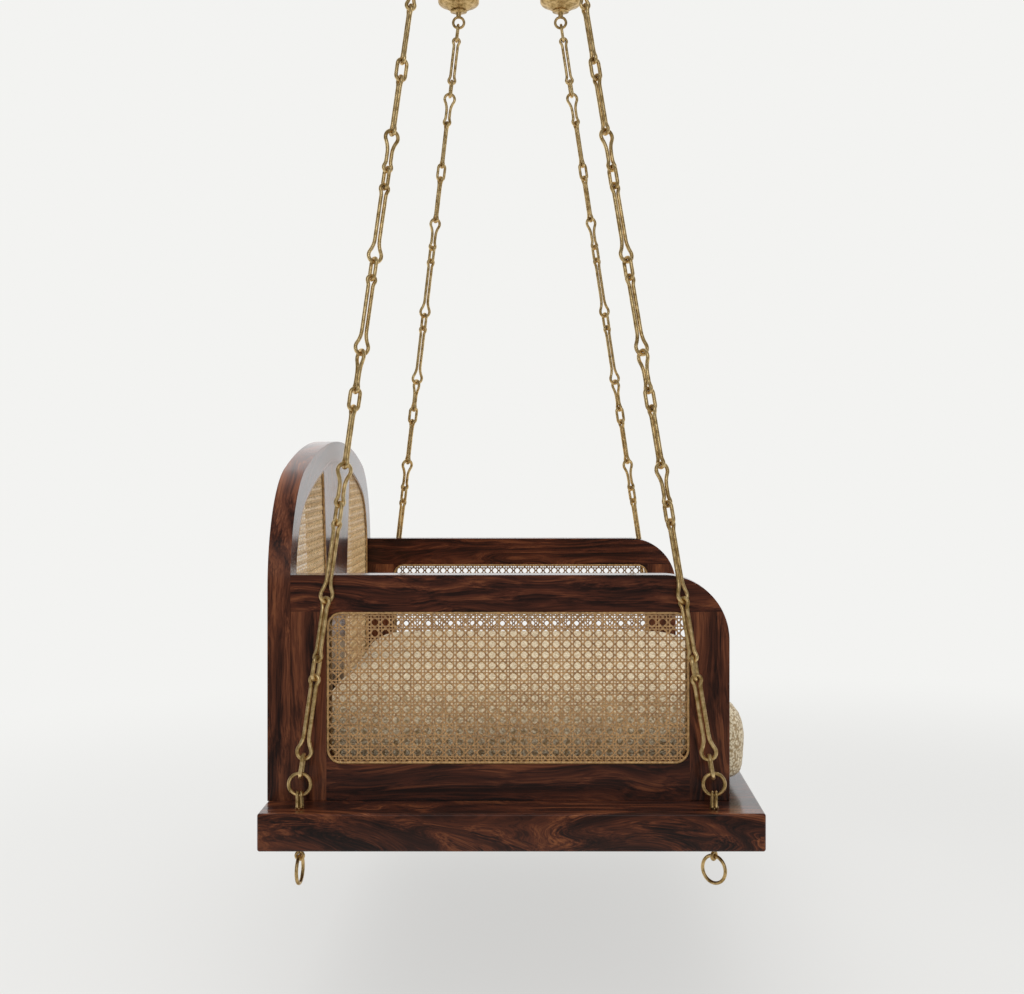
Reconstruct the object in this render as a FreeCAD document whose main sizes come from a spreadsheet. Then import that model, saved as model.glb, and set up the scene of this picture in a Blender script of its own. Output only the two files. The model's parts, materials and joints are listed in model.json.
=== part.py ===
"""Hanging wooden swing seat: platform, arched back, two cane arms, cushion, four link chains.

Axes: +X is the way the sitter faces, +Y is the sitter's left, +Z is up.
Origin: the middle of the four ceiling studs, on the ceiling plane. Lengths are in millimetres.
"""
import FreeCAD, Part
import math
import os

Vector = FreeCAD.Vector
Placement = FreeCAD.Placement
Rotation = FreeCAD.Rotation

DOC = FreeCAD.newDocument("swing_seat")
SHEET = DOC.addObject("Spreadsheet::Sheet", "sizes")

SIZES = [
    # ceiling fittings
    ("stud_spacing_x", 174.0), ("stud_spacing_y", 604.0), ("stud_radius", 5.0), ("stud_length", 40.0),
    ("rose_radius", 35.0), ("rose_side", 9.0), ("rose_edge", 8.0), ("rose_depth", 24.0),
    ("rose_wall", 2.0), ("rose_mouth_radius", 15.0), ("stud_clearance", 1.3),
    ("collar_radius", 14.0), ("collar_height", 3.0), ("hook_neck_radius", 5.6),
    ("hook_eye_radius", 9.2), ("hook_wire_radius", 2.3), ("hook_eye_drop", 45.0),
    # chain
    ("link_wire", 4.8), ("link_play", 0.3), ("open_pivot_play", 1.2),
    ("oval_pitch", 22.3), ("pear_pitch", 48.0), ("waist_pitch", 71.5),
    ("oval_bulb", 6.6), ("small_bulb", 5.4), ("large_bulb", 8.8), ("waist_half", 3.2),
    ("small_taper", 14.0), ("large_taper", 32.0), ("link_mid_turn", 35.0),
    # chain rings and the eye bolts through the platform
    ("ring_radius", 13.1), ("ring_wire_radius", 2.2), ("ring_height", 28.5),
    ("eye_wire_radius", 1.7), ("eye_clearance", 0.3), ("eye_strand_offset", 2.4),
    ("eye_foot_radius", 2.3),
    ("bolt_radius", 4.0), ("bolt_collar_radius", 5.6),
    ("bolt_collar_height", 1.0), ("bolt_clearance", 0.25),
    ("nut_radius", 7.5), ("nut_height", 5.0), ("nut_reach", 3.0),
    ("lug_wire_radius", 2.0),
    ("drop_ring_radius", 16.3), ("drop_ring_wire", 2.1), ("drop_ring_drop", 11.6),
    # platform
    ("ceiling_drop", 1204.0), ("platform_depth", 600.0), ("platform_length", 900.0),
    ("platform_thick", 45.0), ("platform_rear_reach", 276.5), ("platform_round", 3.0),
    ("bolt_rear_inset", 46.0), ("bolt_front_inset", 58.5), ("bolt_side_inset", 27.0),
    # back
    ("back_inset", 0.2), ("back_thick", 28.0), ("back_width", 775.0), ("back_height", 442.0),
    ("back_spring", 260.0), ("back_side_radius", 150.0), ("rim_width", 40.0), ("crown_rim_width", 31.0),
    ("back_rail_height", 50.0), ("splat_foot_half", 60.0), ("splat_head_half", 129.0),
    ("opening_corner", 8.0),
    # arms
    ("arm_length", 536.7), ("arm_height", 276.0), ("arm_thick", 29.5), ("arm_round", 80.0),
    ("top_rail_height", 45.0), ("bottom_rail_height", 45.0),
    ("rear_stile_width", 44.1), ("front_stile_width", 48.8), ("arm_opening_corner", 18.0),
    # cane
    ("cane_thick", 1.6), ("spline_radius", 1.5), ("spline_gap", 0.05),
    ("cane_hole", 5.0), ("arm_cane_columns", 25.0), ("arm_cane_rows", 11.0),
    ("back_cane_pitch", 17.0),
    # cushion
    ("cushion_length", 566.3), ("cushion_height", 127.0), ("cushion_side_gap", 3.0),
    ("cushion_back_gap", 0.4), ("cushion_corner", 46.0), ("cushion_seat_gap", 0.3),
    # screws up through the platform
    ("screw_radius", 2.5), ("screw_head_radius", 5.0), ("screw_head_height", 3.2),
    ("screw_bite", 26.0), ("screw_end_inset", 24.0),
    # one overrun for every cut
    ("overrun", 5.0),
]

for row, (alias, number) in enumerate(SIZES, start=1):
    SHEET.set("A%d" % row, alias.replace("_", " "))
    SHEET.set("B%d" % row, str(number))
    SHEET.setAlias("B%d" % row, alias)
DOC.recompute()


def size(alias):
    """The number that the sheet holds under an alias."""
    return float(SHEET.get(alias))


# Expressions and places that several pieces share.
DECK = "-sizes.ceiling_drop"
UNDERSIDE = "-sizes.ceiling_drop - sizes.platform_thick"
BACK_REAR = "-sizes.platform_rear_reach + sizes.back_inset"
ARM_REAR = BACK_REAR + " + sizes.back_thick"
deck = -size("ceiling_drop")
underside = deck - size("platform_thick")
back_rear = size("back_inset") - size("platform_rear_reach")
arm_rear = back_rear + size("back_thick")
arm_front = arm_rear + size("arm_length")
half_width = size("back_width") / 2
opening_rear = arm_rear + size("rear_stile_width")
opening_front = arm_front - size("front_stile_width")
opening_low = deck + size("bottom_rail_height")
opening_high = deck + size("arm_height") - size("top_rail_height")
LEG_EXPRESSIONS = {
    "rear": "-sizes.platform_rear_reach + sizes.bolt_rear_inset",
    "front": "sizes.platform_depth - sizes.platform_rear_reach - sizes.bolt_front_inset",
}
ENDS = {"rear": -1, "front": 1}
SIDES = {"right": -1, "left": 1}
LEGS = [(end, side) for end in ENDS for side in SIDES]
kept = []


def keep(node, label):
    """Mark an object as one sub-part, whose file is named by its label."""
    node.Label = label
    kept.append(node)
    return node


def bind(node, **expressions):
    """Bind properties to expressions; px, py and pz stand for the placement's base."""
    base = {"px": "Placement.Base.x", "py": "Placement.Base.y", "pz": "Placement.Base.z"}
    for name, expression in expressions.items():
        node.setExpression(base.get(name, name), expression)
    return node


def box(name, length, width, height, x, y, z):
    node = DOC.addObject("Part::Box", name)
    return bind(node, Length=length, Width=width, Height=height, px=x, py=y, pz=z)


def cylinder(name, radius, height, x, y, z):
    node = DOC.addObject("Part::Cylinder", name)
    return bind(node, Radius=radius, Height=height, px=x, py=y, pz=z)


def torus(name, radius, wire_radius, turn, x, y, z):
    """A round ring whose axis, +Z at first, is turned by the given rotation."""
    node = DOC.addObject("Part::Torus", name)
    node.Placement = Placement(Vector(), turn)
    return bind(node, Radius1=radius, Radius2=wire_radius, px=x, py=y, pz=z)


def fuse(name, pieces):
    node = DOC.addObject("Part::MultiFuse", name)
    node.Shapes = pieces
    return node


def cut(name, base, tool):
    node = DOC.addObject("Part::Cut", name)
    node.Base = base
    node.Tool = tool
    return node


def feature(name, shape, placement=None):
    """An object whose shape is worked out here from the sheet's values."""
    node = DOC.addObject("Part::Feature", name)
    node.Shape = shape
    if placement is not None:
        node.Placement = placement
    return node


def arc(first, middle, last):
    return Part.Arc(first, middle, last).toShape()


def line(first, last):
    return Part.LineSegment(first, last).toShape()


def tube(wire, radius):
    """A solid tube of one radius along an open or closed wire of tangent lines and arcs."""
    start = wire.OrderedEdges[0]
    point = start.valueAt(start.FirstParameter)
    along = start.tangentAt(start.FirstParameter)
    if start.Orientation == "Reversed":
        point = start.valueAt(start.LastParameter)
    ring = Part.Wire(Part.makeCircle(radius, point, along))
    shell = Part.BRepOffsetAPI.MakePipeShell(wire)
    shell.add(ring)
    shell.build()
    shell.makeSolid()
    solid = shell.shape()
    if solid.Volume < 0:
        solid.reverse()
    return solid


# Platform: one thick board with eased edges, four bolt holes and the screw holes.
def leg_place(end, side):
    """Expressions for an eye bolt's x and y."""
    sign = "-" if side == "right" else ""
    return LEG_EXPRESSIONS[end], sign + "(sizes.platform_length / 2 - sizes.bolt_side_inset)"


def screw_points():
    """Where the screws rise through the board: three in each arm, four in the back."""
    side_y = half_width - size("arm_thick") / 2
    inset = size("screw_end_inset")
    arm_x = [arm_rear + inset, (arm_rear + arm_front) / 2, arm_front - inset]
    points = [(x, sign * side_y) for sign in SIDES.values() for x in arm_x]
    back_x = back_rear + size("back_thick") / 2
    reach = half_width - size("rim_width") / 2
    points += [(back_x, share * reach) for share in (-1.0, -1 / 3, 1 / 3, 1.0)]
    return points


def screw_shape(point, spare=0.0):
    """One countersunk wood screw, head flush with the underside, or the hole that it leaves."""
    radius = size("screw_radius") + spare
    foot = Vector(point[0], point[1], underside)
    length = size("platform_thick") + size("screw_bite")
    head = Part.makeCone(size("screw_head_radius") + spare, radius, size("screw_head_height"), foot)
    return head.fuse(Part.makeCylinder(radius, length, foot)).removeSplitter()


screw_holes = feature("screw_holes", Part.makeCompound([screw_shape(p) for p in screw_points()]))
board = box("board", "sizes.platform_depth", "sizes.platform_length", "sizes.platform_thick",
            "-sizes.platform_rear_reach", "-sizes.platform_length / 2", UNDERSIDE)
DOC.recompute()
eased_board = DOC.addObject("Part::Fillet", "eased_board")
eased_board.Base = board
eased_board.Edges = [(number, size("platform_round"), size("platform_round"))
                     for number in range(1, len(board.Shape.Edges) + 1)]
bolt_holes = []
for end, side in LEGS:
    place_x, place_y = leg_place(end, side)
    bolt_holes.append(cylinder("bolt_hole_%s_%s" % (end, side), "sizes.bolt_radius + sizes.bolt_clearance",
                               "sizes.platform_thick + 2 * sizes.overrun", place_x, place_y,
                               UNDERSIDE + " - sizes.overrun"))
drilled = cut("drilled_board", eased_board, fuse("bolt_holes", bolt_holes))
keep(cut("platform", drilled, screw_holes), "platform_board")
keep(feature("screws", Part.makeCompound([screw_shape(p) for p in screw_points()])), "platform_screws")


# Arms: outline with one large round at the top front, opening with small rounds.
def plane_point(y):
    """A function that puts an outline's x and z into the upright plane at one y."""
    return lambda x, z: Vector(x, y, z)


def rounded_rectangle(y, x0, x1, z0, z1, radius):
    """A closed wire of four lines and four arcs in the upright plane at y."""
    at = plane_point(y)
    slack = radius * (1 - math.cos(math.pi / 4))
    return Part.Wire([
        line(at(x0 + radius, z0), at(x1 - radius, z0)),
        arc(at(x1 - radius, z0), at(x1 - slack, z0 + slack), at(x1, z0 + radius)),
        line(at(x1, z0 + radius), at(x1, z1 - radius)),
        arc(at(x1, z1 - radius), at(x1 - slack, z1 - slack), at(x1 - radius, z1)),
        line(at(x1 - radius, z1), at(x0 + radius, z1)),
        arc(at(x0 + radius, z1), at(x0 + slack, z1 - slack), at(x0, z1 - radius)),
        line(at(x0, z1 - radius), at(x0, z0 + radius)),
        arc(at(x0, z0 + radius), at(x0 + slack, z0 + slack), at(x0 + radius, z0)),
    ])


def arm_outline(y0, thick):
    """The arm's whole plate, before its opening: square but for the round at the top front."""
    at = plane_point(y0)
    top = deck + size("arm_height")
    radius = size("arm_round")
    slack = radius * (1 - math.cos(math.pi / 4))
    wire = Part.Wire([
        line(at(arm_rear, deck), at(arm_front, deck)),
        line(at(arm_front, deck), at(arm_front, top - radius)),
        arc(at(arm_front, top - radius), at(arm_front - slack, top - slack), at(arm_front - radius, top)),
        line(at(arm_front - radius, top), at(arm_rear, top)),
        line(at(arm_rear, top), at(arm_rear, deck)),
    ])
    return Part.Face(wire).extrude(Vector(0, thick, 0))


def holed_sheet(outline, thick, centres, radius):
    """A flat woven sheet in the upright plane, with round gaps where the weave is open."""
    face = Part.Face(outline)
    rings = [Part.Wire(Part.makeCircle(radius, centre, face.normalAt(0, 0))) for centre in centres]
    inner = [ring for ring in rings if face.distToShape(ring)[0] < 1e-6
             and outline.distToShape(ring)[0] > radius / 2]
    holed = Part.Face([outline] + inner)
    holed.validate()
    return holed.extrude(thick)


def arm_cane_centres(y):
    columns = int(round(size("arm_cane_columns")))
    rows = int(round(size("arm_cane_rows")))
    step_x = (opening_front - opening_rear) / columns
    step_z = (opening_high - opening_low) / rows
    return [Vector(opening_rear + (column + 0.5) * step_x, y, opening_low + (row + 0.5) * step_z)
            for column in range(columns) for row in range(rows)]


def build_arm(side):
    """Top rail, bottom rail, two stiles, cane sheet, outer spline and inner bead of one arm."""
    sign = SIDES[side]
    thick = size("arm_thick")
    outer_y = sign * half_width
    low_y = min(outer_y, outer_y - sign * thick)
    name = side + "_arm"
    low_expression = "-sizes.back_width / 2" if sign < 0 else "sizes.back_width / 2 - sizes.arm_thick"
    plate = feature(name + "_plate", arm_outline(low_y, thick))
    corner = size("arm_opening_corner")
    window_wire = rounded_rectangle(low_y, opening_rear, opening_front, opening_low, opening_high, corner)
    window = feature(name + "_window", Part.Face(window_wire).extrude(Vector(0, thick, 0)))

    opening_length = "sizes.arm_length - sizes.rear_stile_width - sizes.front_stile_width"
    opening_x = ARM_REAR + " + sizes.rear_stile_width"
    rail_top = box(name + "_top_blank", "sizes.arm_length", "sizes.arm_thick", "sizes.top_rail_height",
                   ARM_REAR, low_expression, DECK + " + sizes.arm_height - sizes.top_rail_height")
    rail_ears = box(name + "_top_ears", opening_length, "sizes.arm_thick", "sizes.arm_opening_corner",
                    opening_x, low_expression,
                    DECK + " + sizes.arm_height - sizes.top_rail_height - sizes.arm_opening_corner")
    rail_low = box(name + "_bottom_blank", opening_length, "sizes.arm_thick",
                   "sizes.bottom_rail_height + sizes.arm_opening_corner", opening_x, low_expression, DECK)
    stile_rear = box(name + "_rear_blank", "sizes.rear_stile_width", "sizes.arm_thick",
                     "sizes.arm_height - sizes.top_rail_height", ARM_REAR, low_expression, DECK)
    stile_front = box(name + "_front_blank", "sizes.front_stile_width", "sizes.arm_thick",
                      "sizes.arm_height - sizes.top_rail_height",
                      ARM_REAR + " + sizes.arm_length - sizes.front_stile_width", low_expression, DECK)

    top_blank = cut(name + "_top_shaped", fuse(name + "_top_joined", [rail_top, rail_ears]), window)
    for label, blank in (("top_rail", top_blank), ("front_stile", stile_front)):
        rounded = DOC.addObject("Part::Common", name + "_" + label + "_rounded")
        rounded.Base = blank
        rounded.Tool = plate
        if label == "front_stile":
            keep(cut(name + "_" + label, rounded, screw_holes), name + "_" + label)
        else:
            keep(rounded, name + "_" + label)
    low_shaped = cut(name + "_bottom_shaped", rail_low, window)
    keep(cut(name + "_bottom_rail", low_shaped, screw_holes), name + "_bottom_rail")
    keep(cut(name + "_rear_stile", stile_rear, screw_holes), name + "_rear_stile")

    spline = size("spline_radius")
    sheet_face_y = outer_y - sign * (2 * spline + size("spline_gap"))
    sheet_wire = rounded_rectangle(sheet_face_y, opening_rear, opening_front, opening_low, opening_high,
                                   corner)
    sheet = holed_sheet(sheet_wire, Vector(0, -sign * size("cane_thick"), 0),
                        arm_cane_centres(sheet_face_y), size("cane_hole"))
    keep(feature(name + "_cane", sheet), name + "_cane")
    inset = spline + size("spline_gap")
    for label, y in (("cane_spline", outer_y - sign * spline),
                     ("inner_bead", outer_y - sign * (thick - spline))):
        path = rounded_rectangle(y, opening_rear + inset, opening_front - inset, opening_low + inset,
                                 opening_high - inset, corner - inset)
        keep(feature(name + "_" + label, tube(path, spline)), name + "_" + label)


for side in SIDES:
    build_arm(side)


# Back: a three-centred arch, a splat that widens upwards, and a cane sheet each side of it.
spring = deck + size("back_spring")


def arch_numbers(inset):
    """The arch set in by a width at its legs: side radius and centre, crown radius and centre.

    The rim narrows towards its crown, so there the arch is set in by less.
    """
    crown_share = size("crown_rim_width") / size("rim_width")
    rise = size("back_height") - size("back_spring") - inset * crown_share
    side_radius = size("back_side_radius") - inset
    side_centre = half_width - size("back_side_radius")
    crown_radius = (side_centre ** 2 + rise ** 2 - side_radius ** 2) / (2 * (rise - side_radius))
    return side_radius, side_centre, crown_radius, spring + rise - crown_radius


def arch_points(inset):
    """Where the arch, set in by a width, springs, changes radius and peaks; y is positive."""
    side_radius, side_centre, crown_radius, crown_centre = arch_numbers(inset)
    reach = math.hypot(side_centre, spring - crown_centre)
    share = side_radius / reach
    joint = (side_centre * (1 + share), spring + (spring - crown_centre) * share)
    turn = math.atan2(spring - crown_centre, side_centre) / 2
    middle = (side_centre + side_radius * math.cos(turn), spring + side_radius * math.sin(turn))
    crown = (0.0, crown_centre + crown_radius)
    return (half_width - inset, spring), middle, joint, crown


def crown_height(y, inset):
    """The height of the arch's crown arc, set in by a width, at one y."""
    crown_radius, crown_centre = arch_numbers(inset)[2:]
    return crown_centre + math.sqrt(crown_radius ** 2 - y ** 2)


def arch_wire(x, inset, foot):
    """The whole arch at one x, closed along its foot."""
    start, middle, joint, crown = arch_points(inset)
    right = [Vector(x, -y, z) for y, z in (start, middle, joint)]
    left = [Vector(x, y, z) for y, z in (start, middle, joint)]
    return Part.Wire([
        line(Vector(x, -start[0], foot), right[0]),
        arc(right[0], right[1], right[2]),
        arc(right[2], Vector(x, crown[0], crown[1]), left[2]),
        arc(left[2], left[1], left[0]),
        line(left[0], Vector(x, start[0], foot)),
        line(Vector(x, start[0], foot), Vector(x, -start[0], foot)),
    ])


def splat_half(z):
    """Half the splat's width at a height."""
    foot = deck + size("back_rail_height")
    head = crown_height(size("splat_head_half"), size("rim_width"))
    share = (z - foot) / (head - foot)
    return size("splat_foot_half") + share * (size("splat_head_half") - size("splat_foot_half"))


def back_opening(x, sign, inset):
    """The left or right opening at one x, with eased corners, set in by a width."""
    rim = size("rim_width")
    start, middle, joint, crown = arch_points(rim)
    foot = deck + size("back_rail_height")
    head_y = size("splat_head_half")
    head_z = crown_height(head_y, rim)
    between = (joint[0] + head_y) / 2
    at = lambda y, z: Vector(x, sign * y, z)
    sharp = Part.Wire([
        line(at(splat_half(foot), foot), at(start[0], foot)),
        line(at(start[0], foot), at(*start)),
        arc(at(*start), at(*middle), at(*joint)),
        arc(at(*joint), at(between, crown_height(between, rim)), at(head_y, head_z)),
        line(at(head_y, head_z), at(splat_half(foot), foot)),
    ])
    corner = size("opening_corner")
    shrunk = sharp.makeOffset2D(-corner)
    if shrunk.BoundBox.DiagonalLength > sharp.BoundBox.DiagonalLength:
        shrunk = sharp.makeOffset2D(corner)
    grown = shrunk.makeOffset2D(corner - inset)
    if grown.BoundBox.DiagonalLength < shrunk.BoundBox.DiagonalLength:
        grown = shrunk.makeOffset2D(inset - corner)
    return grown


def build_back():
    thick = Vector(size("back_thick"), 0, 0)
    rim = size("rim_width")
    foot = deck + size("back_rail_height")
    start = arch_points(rim)[0]
    openings = Part.makeCompound([Part.Face(back_opening(back_rear, sign, 0.0)).extrude(thick)
                                  for sign in SIDES.values()])
    plate = Part.Face(arch_wire(back_rear, 0.0, deck)).extrude(thick)
    inside = Part.Face(arch_wire(back_rear, rim, deck)).extrude(thick)
    head_y = size("splat_head_half")
    head_z = crown_height(head_y, rim)
    corner = size("opening_corner")

    # The splat takes the eased corners beside it; the rail and the rim take their own.
    crown = arch_points(rim)[3]
    splat_wire = Part.Wire([
        line(Vector(back_rear, -splat_half(foot), foot), Vector(back_rear, splat_half(foot), foot)),
        line(Vector(back_rear, splat_half(foot), foot), Vector(back_rear, head_y, head_z)),
        arc(Vector(back_rear, head_y, head_z), Vector(back_rear, crown[0], crown[1]),
            Vector(back_rear, -head_y, head_z)),
        line(Vector(back_rear, -head_y, head_z), Vector(back_rear, -splat_half(foot), foot)),
    ])
    splat = Part.Face(splat_wire).extrude(thick)
    rail = Part.makeBox(size("back_thick"), 2 * start[0], size("back_rail_height") + 2 * corner,
                        Vector(back_rear, -start[0], deck)).cut(splat).cut(openings)
    rim_solid = plate.cut(inside)
    ears = inside.cut(splat).cut(rail).cut(openings)
    rim_solid = rim_solid.fuse(ears).removeSplitter()
    holes = screw_holes.Shape
    keep(feature("back_rim", rim_solid.cut(holes)), "back_arch_rim")
    keep(feature("back_rail", rail.cut(holes)), "back_bottom_rail")
    keep(feature("back_splat_panel", splat), "back_splat")

    front = back_rear + size("back_thick")
    spline = size("spline_radius")
    inset = spline + size("spline_gap")
    sheet_x = front - 2 * spline - size("spline_gap")
    pitch = size("back_cane_pitch")
    for side, sign in SIDES.items():
        outline = back_opening(sheet_x, sign, 0.0)
        bounds = outline.BoundBox
        columns = int(bounds.YLength / pitch)
        rows = int(bounds.ZLength / pitch)
        edge_y = (bounds.YLength - (columns - 1) * pitch) / 2
        edge_z = (bounds.ZLength - (rows - 1) * pitch) / 2
        centres = [Vector(sheet_x, bounds.YMin + edge_y + column * pitch, bounds.ZMin + edge_z + row * pitch)
                   for column in range(columns) for row in range(rows)]
        sheet = holed_sheet(outline, Vector(-size("cane_thick"), 0, 0), centres, size("cane_hole"))
        keep(feature("back_sheet_" + side, sheet), "back_cane_" + side)
    for label, x in (("back_cane_splines", front - spline), ("back_rear_beads", back_rear + spline)):
        loops = [tube(back_opening(x, sign, inset), spline) for sign in SIDES.values()]
        keep(feature(label + "_loops", Part.makeCompound(loops)), label)


build_back()


# Cushion: a crowned pad lofted through level outlines, drawn in above and below its fullest line.
def level_outline(inset, z):
    radius = size("cushion_corner")
    x0 = arm_rear + size("cushion_back_gap") + inset
    x1 = arm_rear + size("cushion_back_gap") + size("cushion_length") - inset
    reach = half_width - size("arm_thick") - size("cushion_side_gap") - inset
    slack = radius * (1 - math.cos(math.pi / 4))
    corners = []
    for x, y, turn_x, turn_y in ((x1, -reach, -1, 1), (x1, reach, -1, -1),
                                 (x0, reach, 1, -1), (x0, -reach, 1, 1)):
        corners.append((Vector(x + turn_x * radius, y, z), Vector(x + turn_x * slack, y + turn_y * slack, z),
                        Vector(x, y + turn_y * radius, z)))
    first, second, third, fourth = corners
    return Part.Wire([
        arc(first[0], first[1], first[2]),
        line(first[2], second[2]),
        arc(second[2], second[1], second[0]),
        line(second[0], third[0]),
        arc(third[0], third[1], third[2]),
        line(third[2], fourth[2]),
        arc(fourth[2], fourth[1], fourth[0]),
        line(fourth[0], first[0]),
    ])


CUSHION_LEVEL_SHARES = [
    # height as a share of the cushion's, inset as a share of its height
    (0.0, 0.08), (0.05, 0.03), (0.16, 0.01), (0.42, 0.0), (0.61, 0.01),
    (0.77, 0.06), (0.88, 0.16), (0.95, 0.34), (1.0, 0.80),
]
seat_bottom = deck + size("cushion_seat_gap")
cushion = Part.makeLoft([level_outline(inset * size("cushion_height"), seat_bottom + up * size("cushion_height"))
                         for up, inset in CUSHION_LEVEL_SHARES], True, False)
keep(feature("cushion", cushion), "seat_cushion")


# Ceiling roses and hooks.
def revolved(name, points):
    """A closed outline of radius and height pairs, turned once about the upright axis."""
    corners = [Vector(radius, 0, z) for radius, z in points]
    wire = Part.makePolygon(corners + corners[:1])
    node = DOC.addObject("Part::Revolution", name)
    node.Source = feature(name + "_outline", Part.Face(wire))
    node.Axis = Vector(0, 0, 1)
    node.Angle = 360
    return node


def rose_outline():
    """A cup: straight side, round lower edge, shallow cone down to its mouth, thin wall."""
    radius = size("rose_radius")
    side = size("rose_side")
    edge = size("rose_edge")
    wall = size("rose_wall")
    depth = size("rose_depth")
    mouth = size("rose_mouth_radius")
    hole = size("stud_radius") + size("stud_clearance")
    steps = 6
    turns = [math.pi / 2 * step / steps for step in range(steps + 1)]
    outside = [(radius, 0.0)]
    outside += [(radius - edge + edge * math.cos(turn), -side - edge * math.sin(turn)) for turn in turns]
    outside += [(mouth, -depth), (hole, -depth)]
    inner = edge - wall
    inside = [(hole, -depth + wall), (mouth, -depth + wall)]
    inside += [(radius - edge + inner * math.cos(turn), -side - inner * math.sin(turn))
               for turn in reversed(turns)]
    inside += [(radius - wall, 0.0)]
    return outside + inside


def build_ceiling(end, side):
    name = "%s_%s" % (end, side)
    x = ("-" if end == "rear" else "") + "sizes.stud_spacing_x / 2"
    y = ("-" if side == "right" else "") + "sizes.stud_spacing_y / 2"
    keep(bind(revolved("rose_" + name, rose_outline()), px=x, py=y), "ceiling_rose_" + name)
    stud = cylinder("stud_" + name, "sizes.stud_radius", "sizes.stud_length + sizes.rose_depth", x, y,
                    "-sizes.rose_depth")
    collar = cylinder("collar_" + name, "sizes.collar_radius", "sizes.collar_height", x, y,
                      "-sizes.rose_depth - sizes.collar_height")
    neck = DOC.addObject("Part::Cone", "neck_" + name)
    bind(neck, Radius1="sizes.hook_wire_radius * 1.5", Radius2="sizes.hook_neck_radius",
         Height="sizes.hook_eye_drop - sizes.hook_eye_radius - sizes.rose_depth - sizes.collar_height",
         px=x, py=y, pz="-sizes.hook_eye_drop + sizes.hook_eye_radius")
    eye = torus("hook_eye_" + name, "sizes.hook_eye_radius", "sizes.hook_wire_radius",
                Rotation(Vector(1, 0, 0), 90), x, y, "-sizes.hook_eye_drop")
    keep(fuse("hook_" + name, [stud, collar, neck, eye]), "ceiling_hook_" + name)


for end, side in LEGS:
    build_ceiling(end, side)


# Eye bolts, chain rings, lower nuts and the rings that hang below the board.
DROP_RING_TURNS = {("rear", "right"): 86.0, ("front", "right"): -41.0,
                   ("rear", "left"): -62.0, ("front", "left"): 42.0}


def staple_strand():
    """One upright strand of an eye bolt: up, over the ring's wire and down, on spread feet."""
    radius = size("ring_wire_radius") + size("eye_clearance") + size("eye_wire_radius")
    high = size("ring_height") - math.sqrt(size("ring_radius") ** 2 - size("eye_strand_offset") ** 2)
    sunk = size("bolt_collar_height") / 2
    at = lambda y, z: Vector(0, y, z)
    path = Part.Wire([
        line(at(-radius, sunk), at(-radius, high)),
        arc(at(-radius, high), at(0, high + radius), at(radius, high)),
        line(at(radius, high), at(radius, sunk)),
    ])
    return tube(path, size("eye_wire_radius"))


def build_bolt(end, side):
    name = "%s_%s" % (end, side)
    x, y = leg_place(end, side)
    sideways = Rotation(Vector(1, 0, 0), 90)
    ring_centre = DECK + " + sizes.ring_height"
    keep(torus("ring_" + name, "sizes.ring_radius", "sizes.ring_wire_radius", sideways, x, y, ring_centre),
         "chain_ring_" + name)

    # Two strands pass over the ring's lowest stretch and run down to one collar.
    pieces = []
    for strand, sign in (("a", -1), ("b", 1)):
        staple = feature("strand_%s_%s" % (strand, name), staple_strand())
        strand_x = "%s + %d * sizes.eye_strand_offset" % (x, sign)
        bind(staple, px=strand_x, py=y, pz=DECK)
        pieces.append(staple)
        for leg, leg_sign in (("near", "-"), ("far", "+")):
            foot = DOC.addObject("Part::Sphere", "foot_%s_%s_%s" % (strand, leg, name))
            reach = "(sizes.ring_wire_radius + sizes.eye_clearance + sizes.eye_wire_radius)"
            bind(foot, Radius="sizes.eye_foot_radius", px=strand_x, py="%s %s %s" % (y, leg_sign, reach),
                 pz=DECK + " + sizes.eye_foot_radius")
            pieces.append(foot)
    pieces.append(cylinder("bolt_collar_" + name, "sizes.bolt_collar_radius", "sizes.bolt_collar_height",
                           x, y, DECK))
    pieces.append(cylinder("bolt_shank_" + name, "sizes.bolt_radius",
                           "sizes.platform_thick + sizes.nut_reach", x, y,
                           UNDERSIDE + " - sizes.nut_reach"))
    keep(fuse("bolt_" + name, pieces), "eye_bolt_" + name)

    # The nut screws on from below; its eye carries the lower ring.
    turn = DROP_RING_TURNS[(end, side)]
    nut_body = cylinder("nut_body_" + name, "sizes.nut_radius", "sizes.nut_height", x, y,
                        UNDERSIDE + " - sizes.nut_height")
    nut_bore = cylinder("nut_bore_" + name, "sizes.bolt_radius", "sizes.nut_reach + sizes.overrun", x, y,
                        UNDERSIDE + " - sizes.nut_reach")
    lug_radius = "(sizes.drop_ring_wire + sizes.eye_clearance + sizes.lug_wire_radius)"
    lug = torus("lug_" + name, lug_radius, "sizes.lug_wire_radius",
                Rotation(Vector(0, 0, 1), turn).multiply(Rotation(Vector(0, 1, 0), 90)), x, y,
                UNDERSIDE + " - sizes.drop_ring_drop")
    lug_neck = cylinder("lug_neck_" + name, "sizes.lug_wire_radius * 1.4",
                        "sizes.drop_ring_drop - %s - sizes.nut_height / 2" % lug_radius, x, y,
                        "%s - sizes.drop_ring_drop + %s" % (UNDERSIDE, lug_radius))
    keep(cut("nut_" + name, fuse("nut_joined_" + name, [nut_body, lug, lug_neck]), nut_bore),
         "eye_nut_" + name)
    keep(torus("drop_ring_" + name, "sizes.drop_ring_radius", "sizes.drop_ring_wire",
               Rotation(Vector(0, 0, 1), turn).multiply(sideways), x, y,
               "%s - sizes.drop_ring_drop - sizes.drop_ring_radius" % UNDERSIDE), "lower_ring_" + name)


for end, side in LEGS:
    build_bolt(end, side)


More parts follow.
